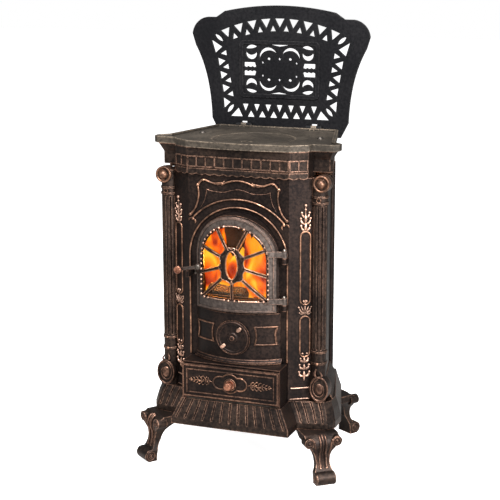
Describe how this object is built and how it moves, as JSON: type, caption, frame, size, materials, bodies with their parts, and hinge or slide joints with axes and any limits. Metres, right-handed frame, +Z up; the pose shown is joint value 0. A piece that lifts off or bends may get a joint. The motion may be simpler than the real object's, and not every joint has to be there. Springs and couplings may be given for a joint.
{
  "type": "cast iron stove",
  "caption": "Upright cast iron room stove with a bowed glazed sunburst door, air valve, ash drawer, corner columns, reeded cornice, scrolled legs and a raised hinged lid.",
  "frame": {"origin": "on the floor under the middle of the stove's bounding box", "axes": "+X to the right as seen from the front, +Y to the back, towards the flue, +Z up"},
  "size_m": [0.5436, 0.4488, 1.1379],
  "materials": {
    "body_iron": "dark brown patina with copper-coloured worn edges",
    "door_iron": "dark brown patina with copper-coloured worn edges",
    "plate_iron": "oiled, olive brown",
    "lid_iron": "black, satin",
    "inner_iron": "sooted",
    "copper": "rubbed copper plate",
    "sheet_steel": "dark sheet",
    "fastener_steel": "browned",
    "door_glass": "heat glass",
    "gasket_rope": "braided rope",
    "clip_steel": "sheet spring",
    "firebrick": "rough, sooted"
  },
  "bodies": {
    "stove": {"base": "body_iron", "leg_front_left": "body_iron", "leg_front_right": "body_iron", "leg_rear_left": "body_iron", "leg_rear_right": "body_iron", "front_casting": "body_iron", "column_left": "body_iron", "column_right": "body_iron", "cornice": "body_iron", "side_plate_left": "body_iron", "side_plate_right": "body_iron", "back_plate": "body_iron", "rear_post_left": "body_iron", "rear_post_right": "body_iron", "latch_keeper": "body_iron", "flue_collar": "body_iron", "top_plate": "plate_iron", "grate_shelf": "inner_iron", "grate": "inner_iron", "baffle_plate": "inner_iron", "log_guard": "inner_iron", "ash_floor": "sheet_steel", "drawer_runners": "sheet_steel", "leg_bolts": "fastener_steel", "tie_rods": "fastener_steel", "tie_rod_nuts": "fastener_steel", "flue_screws": "fastener_steel", "door_hinge_pins": "fastener_steel", "lid_hinge_pins": "fastener_steel", "keeper_screws": "fastener_steel", "firebrick_left": "firebrick", "firebrick_right": "firebrick", "firebrick_rear": "firebrick"},
    "door": {"door_frame": "door_iron", "door_grille": "door_iron", "door_glass": "door_glass", "glass_gasket": "gasket_rope", "glass_clips": "clip_steel", "latch_screw": "fastener_steel"},
    "latch": {"latch_lever": "door_iron", "latch_knob": "copper"},
    "valve_screw": {"valve_spindle": "fastener_steel", "valve_nut": "fastener_steel"},
    "valve": {"valve_disc": "body_iron", "valve_rivet": "fastener_steel"},
    "ash_drawer": {"drawer_tray": "sheet_steel", "drawer_front": "body_iron", "drawer_knob": "copper", "drawer_screw": "fastener_steel"},
    "raised_lid": {"lid": "lid_iron"},
    "hot_plate_cover": {"hot_plate": "plate_iron"}
  },
  "joints": [
    {"name": "door_hinge", "type": "hinge", "parent": "stove", "child": "door", "pos_m": [0.123, -0.151, 0.505], "axis": [0, 0, 1], "range_deg": [0, 110]},
    {"name": "latch_pivot", "type": "hinge", "parent": "door", "child": "latch", "pos_m": [-0.095, -0.1694, 0.52], "axis": [0, 1, 0], "range_deg": [-8, 35]},
    {"name": "air_valve_spin", "type": "hinge", "parent": "stove", "child": "valve_screw", "pos_m": [0, -0.175, 0.351], "axis": [0, 1, 0], "range_deg": [0, 720]},
    {"name": "air_valve_travel", "type": "slide", "parent": "valve_screw", "child": "valve", "axis": [0, -1, 0], "range_m": [0, 0.006]},
    {"name": "ash_drawer_slide", "type": "slide", "parent": "stove", "child": "ash_drawer", "axis": [0, -1, 0], "range_m": [0, 0.18]},
    {"name": "lid_hinge", "type": "hinge", "parent": "stove", "child": "raised_lid", "pos_m": [0, 0.164, 0.828], "axis": [1, 0, 0], "range_deg": [0, 90]},
    {"name": "hot_plate_lift", "type": "slide", "parent": "stove", "child": "hot_plate_cover", "axis": [0, 0, -1], "range_m": [-0.06, 0]}
  ],
  "couplings": [
    {"joint": "air_valve_travel", "follows": "air_valve_spin", "m_per_rad": 0.00047746}
  ]
}
